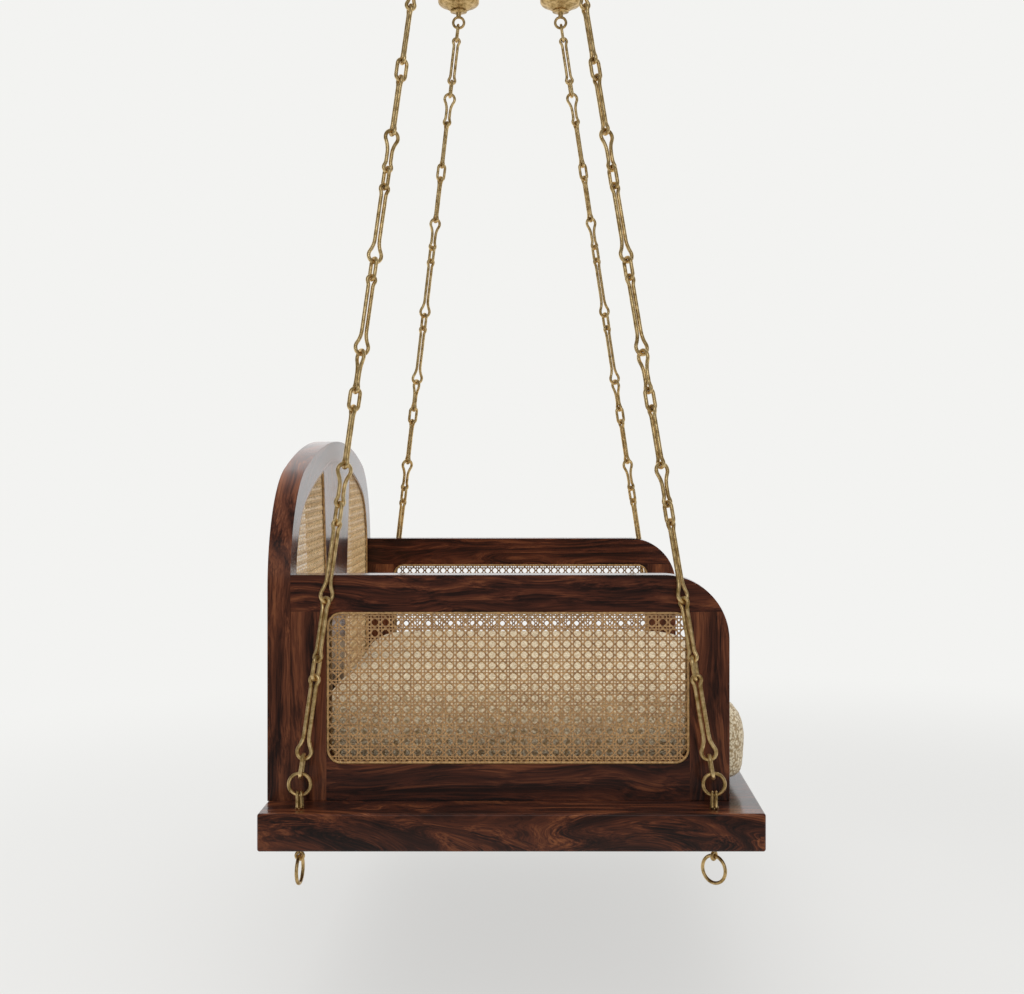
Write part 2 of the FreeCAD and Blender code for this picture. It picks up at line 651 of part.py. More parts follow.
# Chains: oval, pear, waisted and long links between a hook's eye and a chain ring.
CHAIN_ORDER = ["oval", "waist", "oval", "pear", "waist", "oval", "waist", "pear", "oval", "long", "oval",
               "long", "pear", "oval", "waist", "pear", "oval", "long", "waist", "oval", "long", "oval"]
TURN_RAMP_LINKS = 5
SQUARE_TURN = 90.0
LINK_BULBS = {"oval": ("oval_bulb", "oval_bulb"), "pear": ("large_bulb", "small_bulb"),
              "waist": ("small_bulb", "small_bulb"), "long": ("small_bulb", "large_bulb")}


def link_pitches(span):
    """Each link's length between its bearing points; the long links take up what is left."""
    fixed = {kind: size(kind + "_pitch") for kind in ("oval", "pear", "waist")}
    used = sum(fixed.get(kind, 0.0) for kind in CHAIN_ORDER)
    fixed["long"] = (span - used) / CHAIN_ORDER.count("long")
    return [fixed[kind] for kind in CHAIN_ORDER]


def link_path(kind, pitch):
    """A link's centre line in its own XZ plane: a bulb at each end and, but for ovals, a waist."""
    top, low = (size(alias) for alias in LINK_BULBS[kind])
    reach = (pitch + size("link_play") + size("link_wire")) / 2
    top_centre = reach - top
    low_centre = low - reach
    at = lambda x, z: Vector(x, 0, z)
    if kind == "oval":
        return Part.Wire([
            line(at(-top, 0), at(-top, top_centre)),
            arc(at(-top, top_centre), at(0, reach), at(top, top_centre)),
            line(at(top, top_centre), at(top, low_centre)),
            arc(at(top, low_centre), at(0, -reach), at(-top, low_centre)),
            line(at(-top, low_centre), at(-top, 0)),
        ])
    half = size("waist_half")
    sides = []
    for bulb, centre, down in ((top, top_centre, -1), (low, low_centre, 1)):
        taper = size("large_taper" if bulb > size("small_bulb") else "small_taper")
        drop = math.sqrt((bulb + taper) ** 2 - (half + taper) ** 2)
        share = bulb / (bulb + taper)
        leave = ((half + taper) * share, centre + down * drop * share)
        settle = (half, centre + down * drop)
        turn = math.atan2(drop, half + taper) / 2
        middle = (half + taper - taper * math.cos(turn), centre + down * (drop - taper * math.sin(turn)))
        sides.append((leave, middle, settle))
    (top_leave, top_middle, top_settle), (low_leave, low_middle, low_settle) = sides
    mirror = lambda point: at(-point[0], point[1])
    return Part.Wire([
        line(at(*low_settle), at(*top_settle)),
        arc(at(*top_settle), at(*top_middle), at(*top_leave)),
        arc(at(*top_leave), at(0, reach), mirror(top_leave)),
        arc(mirror(top_leave), mirror(top_middle), mirror(top_settle)),
        line(mirror(top_settle), mirror(low_settle)),
        arc(mirror(low_settle), mirror(low_middle), mirror(low_leave)),
        arc(mirror(low_leave), at(0, -reach), at(*low_leave)),
        arc(at(*low_leave), at(*low_middle), at(*low_settle)),
    ])


def link_turn(index):
    """How far a link is turned about the chain: square to its neighbours, easing round twice."""
    last = len(CHAIN_ORDER) - 1
    first_share = min(index, TURN_RAMP_LINKS) / TURN_RAMP_LINKS
    last_share = max(index - last + TURN_RAMP_LINKS, 0) / TURN_RAMP_LINKS
    mid_turn = size("link_mid_turn")
    return SQUARE_TURN * ((index + 1) % 2) + first_share * mid_turn + last_share * (SQUARE_TURN - mid_turn)


def build_chain(end, side):
    name = "%s_%s" % (end, side)
    sign_x, sign_y = ENDS[end], SIDES[side]
    head = Vector(sign_x * size("stud_spacing_x") / 2, sign_y * size("stud_spacing_y") / 2,
                  -size("hook_eye_drop"))
    bolt_x = {"rear": size("bolt_rear_inset") - size("platform_rear_reach"),
              "front": size("platform_depth") - size("platform_rear_reach") - size("bolt_front_inset")}[end]
    foot = Vector(bolt_x, sign_y * (size("platform_length") / 2 - size("bolt_side_inset")),
                  deck + size("ring_height"))
    # The end links bear on the lowest and highest wire of the eye and the ring, in their planes.
    lean = Vector(foot.x - head.x, 0, foot.z - head.z).normalize()
    play = size("link_play")
    start = head + lean * (size("hook_eye_radius") - size("hook_wire_radius") - play / 2)
    # The linkage is open at the front rings, so their links ride a little lower in them.
    bearing_play = play if end == "rear" else 2 * size("open_pivot_play") - play
    finish = foot - lean * (size("ring_radius") - size("ring_wire_radius") - bearing_play / 2)
    span = (finish - start).Length
    along = (finish - start).normalize()
    level = (Vector(1, 0, 0) - along * along.x).normalize()
    upright = Rotation(level, along.cross(level), -along, "ZXY")
    pitches = link_pitches(span)
    run = 0.0
    solids = {"oval": [], "pear": [], "long": []}
    for index, kind in enumerate(CHAIN_ORDER):
        solid = tube(link_path(kind, pitches[index]), size("link_wire") / 2)
        turn = upright.multiply(Rotation(Vector(0, 0, 1), link_turn(index)))
        solid.Placement = Placement(start + along * (run + pitches[index] / 2), turn)
        run += pitches[index]
        solids["long" if kind == "waist" else kind].append(solid)
    for kind, links in solids.items():
        keep(feature("chain_%s_%s" % (name, kind), Part.makeCompound(links)), "chain_%s_%s_links" % (name, kind))
    print("chain", name, "span", round(span, 2), "long link", round(pitches[CHAIN_ORDER.index("long")], 2))


for end, side in LEGS:
    build_chain(end, side)


def check_and_write():
    """Stop on any object that failed; then write each sub-part to its own file."""
    DOC.recompute()
    for node in DOC.Objects:
        if {"Invalid", "Error"} & set(node.State):
            raise RuntimeError("%s failed: %s" % (node.Name, node.State))
    os.makedirs("parts", exist_ok=True)
    for node in kept:
        shape = node.Shape
        if shape.isNull() or not shape.isValid():
            raise RuntimeError("%s has no valid shape" % node.Label)
        if not shape.Solids:
            raise RuntimeError("%s holds no solid" % node.Label)
        shape.exportStep("parts/%s.step" % node.Label)
        print("%-34s solids %3d  volume %12.1f" % (node.Label, len(shape.Solids), shape.Volume))
    print(len(kept), "nodes")


check_and_write()
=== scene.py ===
"""Dresses the hanging swing seat in polished wood, woven cane, looped cloth and aged brass."""
import bpy
import bmesh
import json
import math
import numpy as np
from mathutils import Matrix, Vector
from mathutils.bvhtree import BVHTree


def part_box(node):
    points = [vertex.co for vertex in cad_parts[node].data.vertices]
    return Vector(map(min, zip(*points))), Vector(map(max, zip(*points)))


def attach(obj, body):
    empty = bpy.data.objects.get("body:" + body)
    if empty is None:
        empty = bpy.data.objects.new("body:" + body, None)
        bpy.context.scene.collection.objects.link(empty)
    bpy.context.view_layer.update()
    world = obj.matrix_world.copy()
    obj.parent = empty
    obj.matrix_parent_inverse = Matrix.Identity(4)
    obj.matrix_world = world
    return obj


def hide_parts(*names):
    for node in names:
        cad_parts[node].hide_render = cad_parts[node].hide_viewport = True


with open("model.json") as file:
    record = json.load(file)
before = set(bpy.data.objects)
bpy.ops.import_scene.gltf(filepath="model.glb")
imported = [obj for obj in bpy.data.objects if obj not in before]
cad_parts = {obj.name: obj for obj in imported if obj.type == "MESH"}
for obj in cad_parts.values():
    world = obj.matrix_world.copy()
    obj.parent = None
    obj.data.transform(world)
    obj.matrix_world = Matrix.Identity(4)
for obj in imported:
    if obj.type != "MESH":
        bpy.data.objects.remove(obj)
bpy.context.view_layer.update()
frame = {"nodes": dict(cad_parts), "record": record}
RECORD = frame["record"]
BODY_OF = {node: body for body, nodes in RECORD["behaviour"]["bodies"].items() for node in nodes}
ENDS = ("rear", "front")
SIDES = {"right": -1, "left": 1}

# Lengths are in metres, and MM turns a size in millimetres into them.
MM = 0.001
DECK_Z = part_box("platform_board")[1].z

# The back: an arch in three centres whose rim is 40 mm wide at its legs and 31 mm at its crown,
# and a splat whose edges lean outwards.
ARCH_HALF = 387.5 * MM
ARCH_SPRING = DECK_Z + 260 * MM
ARCH_RISE = 182 * MM
ARCH_SIDE_RADIUS = 150 * MM
RIM = 40 * MM
CROWN_RIM = 31 * MM
BACK_FOOT = DECK_Z + 50 * MM
SIDE_CENTRE = ARCH_HALF - ARCH_SIDE_RADIUS
INNER_SIDE = ARCH_SIDE_RADIUS - RIM
INNER_RISE = ARCH_RISE - CROWN_RIM
INNER_CROWN = (SIDE_CENTRE ** 2 + INNER_RISE ** 2 - INNER_SIDE ** 2) / (2 * (INNER_RISE - INNER_SIDE))
INNER_CENTRE = ARCH_SPRING + INNER_RISE - INNER_CROWN
SPLAT_FOOT = 60 * MM
SPLAT_HEAD = 129 * MM
SPLAT_HEAD_Z = INNER_CENTRE + math.sqrt(INNER_CROWN ** 2 - SPLAT_HEAD ** 2)

# How many of each feature a metre of the material shows.
FIGURE_PER_METRE = 9.0
BANDS_PER_METRE = 22.0
FIBRES_PER_METRE = 330.0
PORES_PER_METRE = 900.0
CANE_PATCHES_PER_METRE = 45.0
CANE_FIBRES_PER_METRE = 380.0
REED_FIBRES_PER_METRE = 240.0
TARNISH_PER_METRE = 120.0
BRASS_GRAIN_PER_METRE = 1400.0
PLATING_PER_METRE = 300.0
LOOPS_PER_METRE = 300.0
LOOP_BENDS_PER_METRE = 150.0
YARNS_PER_METRE = 700.0
PILE_PER_METRE = 60.0

# How far the loops of the cloth stray from even rows, and how high the surfaces' grain stands.
LOOP_STRAY = 4 * MM
LOOP_HEIGHT = 1.4 * MM
PORE_DEPTH = 0.2 * MM
CANE_GRAIN = 0.3 * MM
BRASS_GRAIN = 0.2 * MM
# The arch's grain runs this far along its head for each radian of turn.
HEAD_RUN = 250 * MM
# How much of the wood's tone comes from its growth rings, its broad bands and its fibre.
RING_SHARE = 0.25
BAND_SHARE = 0.38
FIBRE_SHARE = 0.37
TONE_PLACES = (0.14, 0.38, 0.62, 0.92)


# Nodes and materials.
def srgb(code):
    """A linear colour from a six-digit hex value."""
    channels = [int(code[place:place + 2], 16) / 255 for place in (1, 3, 5)]
    return tuple(c / 12.92 if c <= 0.04045 else ((c + 0.055) / 1.055) ** 2.4 for c in channels) + (1.0,)


def add(tree, kind, inputs=None, **settings):
    """Adds one node, sets its properties, and sets or links its inputs."""
    node = tree.nodes.new(kind)
    for name, value in settings.items():
        setattr(node, name, value)
    for key, value in (inputs or {}).items():
        if isinstance(value, bpy.types.NodeSocket):
            tree.links.new(value, node.inputs[key])
        else:
            node.inputs[key].default_value = value
    return node


def ramp(tree, factor, stops):
    """A colour ramp through (place, hex) stops."""
    node = add(tree, "ShaderNodeValToRGB", {"Fac": factor})
    elements = node.color_ramp.elements
    while len(elements) < len(stops):
        elements.new(0.5)
    for element, (place, code) in zip(elements, stops):
        element.position = place
        element.color = srgb(code)
    return node.outputs["Color"]


def new_material(name):
    material = bpy.data.materials.new(name)
    material.use_nodes = True
    tree = material.node_tree
    tree.nodes.clear()
    return material, tree


def finish_material(tree, surface):
    add(tree, "ShaderNodeOutputMaterial", {"Surface": surface})


def bent_grain(tree, coords, spring, squat):
    """Coordinates whose Z runs up the arch's legs and on round its head."""
    parts = add(tree, "ShaderNodeSeparateXYZ", {0: coords}).outputs
    beyond = add(tree, "ShaderNodeMath", {0: parts["Z"], 1: -spring}, operation="ADD").outputs[0]
    head = add(tree, "ShaderNodeMath", {0: beyond, 1: 0.0}, operation="MAXIMUM").outputs[0]
    leg = add(tree, "ShaderNodeMath", {0: beyond, 1: 0.0}, operation="MINIMUM").outputs[0]
    wide = add(tree, "ShaderNodeMath", {0: parts["Y"]}, operation="ABSOLUTE").outputs[0]
    tall = add(tree, "ShaderNodeMath", {0: head, 1: 1.0 / squat}, operation="MULTIPLY").outputs[0]
    turn = add(tree, "ShaderNodeMath", {0: tall, 1: wide}, operation="ARCTAN2").outputs[0]
    run = add(tree, "ShaderNodeMath", {0: turn, 1: HEAD_RUN, 2: leg}, operation="MULTIPLY_ADD").outputs[0]
    flat = add(tree, "ShaderNodeCombineXYZ", {"X": wide, "Y": tall}).outputs[0]
    out = add(tree, "ShaderNodeVectorMath", {0: flat}, operation="LENGTH").outputs["Value"]
    return add(tree, "ShaderNodeCombineXYZ", {"X": parts["X"], "Y": out, "Z": run}).outputs[0]


def polished_sheesham(name, along, shift, tones, sway, lines, arch=None):
    """Dark Indian rosewood, planed, oiled and lacquered: flowing figure, fine fibre, clear gloss.

    along is the grain's axis, and shift moves the pattern so that no two boards match. sway is how
    far, in metres, the figure carries the grain sideways, and lines is how many growth lines cross a
    metre of it. The fibre is drawn about 3 mm apart and the pores about 1 mm, coarser than real
    ones, so that they show from a step away.
    """
    material, tree = new_material(name)
    coords = add(tree, "ShaderNodeTexCoord").outputs["Object"]
    if arch:
        coords = bent_grain(tree, coords, *arch)
    placed = add(tree, "ShaderNodeMapping", {"Vector": coords, "Location": shift}).outputs["Vector"]

    def stretched(vector, share):
        scale = [share if axis == along else 1.0 for axis in "XYZ"]
        return add(tree, "ShaderNodeVectorMath", {0: vector, 1: scale}, operation="MULTIPLY").outputs[0]

    figure = add(tree, "ShaderNodeTexNoise", {
        "Vector": stretched(placed, 0.35), "Scale": FIGURE_PER_METRE, "Detail": 2.5,
        "Roughness": 0.5, "Distortion": 0.5}).outputs["Color"]
    carried = [0.0 if axis == along else sway for axis in "XYZ"]
    flowing = add(tree, "ShaderNodeVectorMath", {0: figure, 1: carried, 2: placed},
                  operation="MULTIPLY_ADD").outputs[0]
    fibre = add(tree, "ShaderNodeTexNoise", {
        "Vector": stretched(flowing, 0.025), "Scale": FIBRES_PER_METRE, "Detail": 3.0,
        "Roughness": 0.65}).outputs["Fac"]
    # The rings lie aslant both axes across the grain, so that each face of a board shows them.
    across = [0.0 if axis == along else 0.8 * lines for axis in "XYZ"]
    growth = add(tree, "ShaderNodeVectorMath", {0: flowing, 1: across},
                 operation="DOT_PRODUCT").outputs["Value"]
    growth = add(tree, "ShaderNodeMath", {0: fibre, 1: 0.6, 2: growth}, operation="MULTIPLY_ADD").outputs[0]
    rings = add(tree, "ShaderNodeMath", {0: growth, 1: 2 * math.pi}, operation="MULTIPLY").outputs[0]
    rings = add(tree, "ShaderNodeMath", {0: rings}, operation="SINE").outputs[0]
    rings = add(tree, "ShaderNodeMapRange", {"Value": rings, "From Min": -1.0},
                interpolation_type="SMOOTHSTEP").outputs["Result"]
    broad = add(tree, "ShaderNodeTexNoise", {
        "Vector": stretched(flowing, 0.2), "Scale": BANDS_PER_METRE, "Detail": 3.0,
        "Roughness": 0.55}).outputs["Fac"]
    contrast = {"From Min": 0.34, "From Max": 0.66}
    broad = add(tree, "ShaderNodeMapRange", {"Value": broad, **contrast}).outputs["Result"]
    streaks = add(tree, "ShaderNodeMapRange", {"Value": fibre, **contrast}).outputs["Result"]
    pores = add(tree, "ShaderNodeTexNoise", {
        "Vector": stretched(flowing, 0.02), "Scale": PORES_PER_METRE, "Detail": 2.0,
        "Roughness": 0.6}).outputs["Fac"]
    blend = add(tree, "ShaderNodeMath", {0: rings, 1: RING_SHARE}, operation="MULTIPLY").outputs[0]
    blend = add(tree, "ShaderNodeMath", {0: broad, 1: BAND_SHARE, 2: blend},
                operation="MULTIPLY_ADD").outputs[0]
    blend = add(tree, "ShaderNodeMath", {0: streaks, 1: FIBRE_SHARE, 2: blend},
                operation="MULTIPLY_ADD").outputs[0]
    colour = ramp(tree, blend, list(zip(TONE_PLACES, tones)))
    open_pores = add(tree, "ShaderNodeMapRange", {
        "Value": pores, "From Min": 0.36, "From Max": 0.48, "To Min": 0.66, "To Max": 1.0}).outputs["Result"]
    colour = add(tree, "ShaderNodeMix", {"Factor": 1.0, "A": colour, "B": open_pores},
                 data_type="RGBA", blend_type="MULTIPLY").outputs["Result"]
    rough = add(tree, "ShaderNodeMapRange", {
        "Value": fibre, "To Min": 0.34, "To Max": 0.48}).outputs["Result"]
    bump = add(tree, "ShaderNodeBump", {"Height": open_pores, "Strength": 0.12, "Distance": PORE_DEPTH})
    # An oiled surface under a thin soft lacquer mirrors little head-on and much along its faces.
    surface = add(tree, "ShaderNodeBsdfPrincipled", {
        "Base Color": colour, "Roughness": rough, "Normal": bump.outputs["Normal"], "IOR": 1.5,
        "Specular IOR Level": 0.07, "Coat Weight": 1.0, "Coat Roughness": 0.16, "Coat IOR": 1.27})
    finish_material(tree, surface.outputs["BSDF"])
    return material


def natural_cane(name, pale, deep, fibres=CANE_FIBRES_PER_METRE):
    """Peeled rattan, split and woven: satin skin, straw colour that shifts from strand to strand."""
    material, tree = new_material(name)
    coords = add(tree, "ShaderNodeTexCoord").outputs["Object"]
    patch = add(tree, "ShaderNodeTexNoise", {
        "Vector": coords, "Scale": CANE_PATCHES_PER_METRE, "Detail": 3.0}).outputs["Fac"]
    fibre = add(tree, "ShaderNodeTexNoise", {
        "Vector": coords, "Scale": fibres, "Detail": 2.0}).outputs["Fac"]
    mixed = add(tree, "ShaderNodeMath", {0: patch, 1: 0.25}, operation="MULTIPLY").outputs[0]
    mixed = add(tree, "ShaderNodeMath", {0: fibre, 1: 0.75, 2: mixed}, operation="MULTIPLY_ADD").outputs[0]
    colour = ramp(tree, mixed, [(0.34, deep), (0.62, pale)])
    bump = add(tree, "ShaderNodeBump", {"Height": fibre, "Strength": 0.25, "Distance": CANE_GRAIN})
    surface = add(tree, "ShaderNodeBsdfPrincipled", {
        "Base Color": colour, "Roughness": 0.46, "Normal": bump.outputs["Normal"], "IOR": 1.5,
        "Coat Weight": 0.5, "Coat Roughness": 0.28, "Coat IOR": 1.5})
    finish_material(tree, surface.outputs["BSDF"])
    return material


def aged_brass(name, bright, dull):
    """Cast and drawn brass left to darken: satin, a little uneven, browner in patches."""
    material, tree = new_material(name)
    coords = add(tree, "ShaderNodeTexCoord").outputs["Object"]
    patch = add(tree, "ShaderNodeTexNoise", {
        "Vector": coords, "Scale": TARNISH_PER_METRE, "Detail": 5.0, "Roughness": 0.62}).outputs["Fac"]
    fine = add(tree, "ShaderNodeTexNoise", {
        "Vector": coords, "Scale": BRASS_GRAIN_PER_METRE, "Detail": 2.0}).outputs["Fac"]
    colour = ramp(tree, patch, [(0.36, dull), (0.60, bright)])
    rough = add(tree, "ShaderNodeMapRange", {
        "Value": patch, "From Min": 0.3, "From Max": 0.7, "To Min": 0.46, "To Max": 0.28}).outputs["Result"]
    bump = add(tree, "ShaderNodeBump", {"Height": fine, "Strength": 0.12, "Distance": BRASS_GRAIN})
    surface = add(tree, "ShaderNodeBsdfPrincipled", {
        "Base Color": colour, "Roughness": rough, "Metallic": 1.0, "Normal": bump.outputs["Normal"]})
    finish_material(tree, surface.outputs["BSDF"])
    return material


def boucle_cloth(name, pale, deep):
    """Woollen boucle: looped yarn about 3 mm across, matt, with painted shade in the hollows between the
    loops.
    """
    material, tree = new_material(name)
    coords = add(tree, "ShaderNodeTexCoord").outputs["Object"]
    wander = add(tree, "ShaderNodeTexNoise", {
        "Vector": coords, "Scale": LOOP_BENDS_PER_METRE, "Detail": 2.0}).outputs["Color"]
    moved = add(tree, "ShaderNodeVectorMath", {0: wander, 1: (LOOP_STRAY,) * 3, 2: coords},
                operation="MULTIPLY_ADD").outputs[0]
    loops = add(tree, "ShaderNodeTexVoronoi", {"Vector": moved, "Scale": LOOPS_PER_METRE, "Smoothness": 0.35},
                feature="SMOOTH_F1").outputs["Distance"]
    yarn = add(tree, "ShaderNodeTexNoise", {
        "Vector": coords, "Scale": YARNS_PER_METRE, "Detail": 3.0, "Roughness": 0.65}).outputs["Fac"]
    pile = add(tree, "ShaderNodeTexNoise", {
        "Vector": coords, "Scale": PILE_PER_METRE, "Detail": 2.0}).outputs["Fac"]
    # The colour follows the loops' height: the hollows between the loops are painted darker as shade, and the
    # pile adds a random tone.
    height = add(tree, "ShaderNodeMath", {0: loops, 1: -1.3, 2: 1.0}, operation="MULTIPLY_ADD").outputs[0]
    height = add(tree, "ShaderNodeMath", {0: yarn, 1: 0.55, 2: height}, operation="MULTIPLY_ADD").outputs[0]
    pile_tone_and_hollow_shade = add(tree, "ShaderNodeMath", {0: pile, 1: 0.25, 2: height}, operation="MULTIPLY_ADD").outputs[0]
    painted_shade_and_pile = add(tree, "ShaderNodeMapRange", {
        "Value": pile_tone_and_hollow_shade, "From Min": 0.45, "From Max": 1.2}).outputs["Result"]
    colour = ramp(tree, painted_shade_and_pile, [(0.05, deep), (0.75, pale)])
    bump = add(tree, "ShaderNodeBump", {"Height": height, "Strength": 0.8, "Distance": LOOP_HEIGHT})
    surface = add(tree, "ShaderNodeBsdfPrincipled", {
        "Base Color": colour, "Roughness": 0.92, "Normal": bump.outputs["Normal"],
        "Sheen Weight": 0.2, "Sheen Roughness": 0.6, "Specular IOR Level": 0.2})
    finish_material(tree, surface.outputs["BSDF"])
    return material


def plain_steel(name):
    """Zinc-plated screw steel: grey, satin, faintly mottled."""
    material, tree = new_material(name)
    coords = add(tree, "ShaderNodeTexCoord").outputs["Object"]
    patch = add(tree, "ShaderNodeTexNoise", {
        "Vector": coords, "Scale": PLATING_PER_METRE, "Detail": 3.0}).outputs["Fac"]
    colour = ramp(tree, patch, [(0.3, "#8b8c8e"), (0.7, "#b4b5b6")])
    surface = add(tree, "ShaderNodeBsdfPrincipled", {
        "Base Color": colour, "Roughness": 0.38, "Metallic": 1.0})
    finish_material(tree, surface.outputs["BSDF"])
    return material


BOARD_TONES = ("#140805", "#2f150c", "#502716", "#7f4a2a")
RAIL_TONES = ("#130805", "#2b130b", "#482214", "#6e3d24")
UPRIGHT_TONES = ("#1d0c07", "#3f1f12", "#5a301d", "#7d4a2d")
wood_board = polished_sheesham("sheesham_board", "X", (0.31, 0.12, 0.0), BOARD_TONES, 0.34, 26.0)
wood_along = polished_sheesham("sheesham_rails", "X", (0.05, 0.33, 0.0), RAIL_TONES, 0.11, 55.0)
wood_across = polished_sheesham("sheesham_cross_rail", "Y", (0.15, 0.2, 0.4), RAIL_TONES, 0.11, 55.0)
wood_upright = polished_sheesham("sheesham_uprights", "Z", (0.42, 0.07, 0.3), UPRIGHT_TONES, 0.10, 45.0)
wood_splat = polished_sheesham("sheesham_splat", "Z", (0.9, 0.6, 0.1), UPRIGHT_TONES, 0.14, 35.0)
wood_arch = polished_sheesham("sheesham_arch", "Z", (0.2, 0.5, 0.7), UPRIGHT_TONES, 0.10, 45.0,
                              (ARCH_SPRING, ARCH_RISE / ARCH_HALF))
cane = natural_cane("woven_cane", "#b98f58", "#7a5328")
# The back's cane is a paler copy of the arms' cane: painted sheen, standing in for the brighter look its
# strands take when seen at a grazing angle.
sheen_painted_back_cane = natural_cane("woven_back_cane", "#f3d6a5", "#b99561")
reed = natural_cane("reed_edging", "#b58d55", "#7d5a2b", REED_FIBRES_PER_METRE)
brass_chain = aged_brass("aged_brass_chain", "#eccf97", "#aa8b55")
brass_fittings = aged_brass("aged_brass_fittings", "#d8b881", "#967a47")
boucle = boucle_cloth("cream_boucle", "#ebdcbd", "#a88e66")
steel = plain_steel("plated_steel")


# Pieces made from the solids' own surfaces.
WELD = 2e-6
FLAT_ANGLE = 0.4
SHARP_ANGLE = 38.0
CAST_ANGLE = 38.0
LINK_ANGLE = 60.0
ARM_EASE = 0.9 * MM
BACK_EASE = 1.2 * MM
EASE_STEPS = 3
# An edge counts as glued where a spot just inside one of its faces touches a neighbour.
PROBE_INSET = 0.6 * MM
PROBE_SHARES = (0.04, 0.5, 0.96)
GLUE_GAP = 0.1 * MM


def link_object(name, mesh):
    piece = bpy.data.objects.new(name, mesh)
    bpy.context.scene.collection.objects.link(piece)
    return piece


def merged_mesh(node, name, flatten):
    """A solid's surface with its doubled corners joined and, for flat work, its flats made whole."""
    mesh = frame["nodes"][node].data.copy()
    mesh.name = name
    work = bmesh.new()
    work.from_mesh(mesh)
    bmesh.ops.remove_doubles(work, verts=work.verts, dist=WELD)
    if flatten:
        bmesh.ops.dissolve_limit(work, angle_limit=math.radians(FLAT_ANGLE),
                                 verts=work.verts, edges=work.edges)
    work.to_mesh(mesh)
    work.free()
    mesh.materials.clear()
    return mesh


def plain_result(piece):
    """Bakes a piece's modifiers into its mesh and removes them."""
    depsgraph = bpy.context.evaluated_depsgraph_get()
    baked = bpy.data.meshes.new_from_object(piece.evaluated_get(depsgraph))
    piece.modifiers.clear()
    piece.data = baked


def settle(piece, material, node):
    """Gives a finished piece its material, and the body and the place of its solid."""
    piece.data.materials.clear()
    piece.data.materials.append(material)
    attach(piece, BODY_OF[node])
    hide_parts(node)


def smooth(mesh, angle=35.0):
    mesh.polygons.foreach_set("use_smooth", [True] * len(mesh.polygons))
    mesh.set_sharp_from_angle(angle=math.radians(angle))
    mesh.update()


def surface_tree(node):
    mesh = frame["nodes"][node].data
    return BVHTree.FromPolygons([vertex.co for vertex in mesh.vertices],
                                [tuple(polygon.vertices) for polygon in mesh.polygons])


def is_glued(edge, neighbours):
    """Whether one of an edge's faces lies against a neighbour's surface."""
    first, last = (vertex.co for vertex in edge.verts)
    for face in edge.link_faces:
        inward = (face.calc_center_median() - (first + last) / 2).normalized()
        for share in PROBE_SHARES:
            spot = first.lerp(last, share) + inward * PROBE_INSET
            if any(tree.find_nearest(spot, GLUE_GAP)[0] is not None for tree in neighbours):
                return True
    return False


def eased_timber(node, material, ease=ARM_EASE, glued=()):
    """A planed board or rail, its sharp edges eased but for those glued flush to its neighbours."""
    mesh = merged_mesh(node, node + "_timber", True)
    neighbours = [surface_tree(other) for other in glued]
    work = bmesh.new()
    work.from_mesh(mesh)
    weight = work.edges.layers.float.new("bevel_weight_edge")
    for edge in work.edges:
        if len(edge.link_faces) == 2 and edge.calc_face_angle(0.0) >= math.radians(SHARP_ANGLE):
            edge[weight] = 0.0 if is_glued(edge, neighbours) else 1.0
    work.to_mesh(mesh)
    work.free()
    piece = link_object(node + "_timber", mesh)
    bevel = piece.modifiers.new("eased", "BEVEL")
    bevel.width = ease
    bevel.segments = EASE_STEPS
    bevel.limit_method = "WEIGHT"
    bevel.use_clamp_overlap = True
    bevel.harden_normals = True
    smooth(mesh)
    plain_result(piece)
    settle(piece, material, node)


def smoothed_piece(node, material, angle=CAST_ANGLE):
    """A cast, turned or bent piece with its facets smoothed."""
    piece = link_object(node + "_metal", merged_mesh(node, node + "_metal", False))
    smooth(piece.data, angle)
    settle(piece, material, node)


BACK_TIMBERS = ("back_arch_rim", "back_splat", "back_bottom_rail")
eased_timber("platform_board", wood_board)
for node, material in zip(BACK_TIMBERS, (wood_arch, wood_splat, wood_across)):
    eased_timber(node, material, BACK_EASE, [other for other in BACK_TIMBERS if other != node])
for side in SIDES:
    rails = {side + "_arm_top_rail": wood_along, side + "_arm_bottom_rail": wood_along,
             side + "_arm_rear_stile": wood_upright, side + "_arm_front_stile": wood_upright}
    for node, material in rails.items():
        eased_timber(node, material, ARM_EASE, [other for other in rails if other != node])
    smoothed_piece(side + "_arm_cane_spline", reed)
    smoothed_piece(side + "_arm_inner_bead", reed)
smoothed_piece("back_cane_splines", reed)
smoothed_piece("back_rear_beads", reed)
smoothed_piece("platform_screws", steel)
for end in ENDS:
    for side in SIDES:
        corner = "%s_%s" % (end, side)
        for fitting in ("ceiling_rose_", "ceiling_hook_", "chain_ring_",
                        "eye_bolt_", "eye_nut_", "lower_ring_"):
            smoothed_piece(fitting + corner, brass_fittings)
        for kind in ("oval", "pear", "long"):
            smoothed_piece("chain_%s_%s_links" % (corner, kind), brass_chain, LINK_ANGLE)


# Woven cane: one cell of the six-way weave, laid over each opening's cells.
CANE_PITCH = 13.1 * MM
CANE_ANGLE = 30.0
STRAND_WELD = 2e-5
# Each strand runs through one cell: its start, middle and end, as shares of the pitch and of the
# lift, and whether it is one of the diagonals.
STRAND_SHARES = [
    (((-0.365, -0.5, 1.0), (-0.365, 0.0, -0.6), (-0.365, 0.5, 1.0)), False),
    (((0.365, -0.5, -1.0), (0.365, 0.0, 0.6), (0.365, 0.5, -1.0)), False),
    (((-0.5, -0.365, 0.0), (0.0, -0.365, 0.9), (0.5, -0.365, 0.0)), False),
    (((-0.5, 0.365, 0.0), (0.0, 0.365, -0.9), (0.5, 0.365, 0.0)), False),
    (((0.5, 0.0, 1.7), (0.25, -0.25, 0.0), (0.0, -0.5, -1.7)), True),
    (((-0.5, 0.0, 1.7), (-0.25, 0.25, 0.0), (0.0, 0.5, -1.7)), True),
    (((0.5, 0.0, -1.7), (0.25, 0.25, 0.0), (0.0, 0.5, 1.7)), True),
    (((-0.5, 0.0, -1.7), (-0.25, -0.25, 0.0), (0.0, -0.5, 1.7)), True),
]


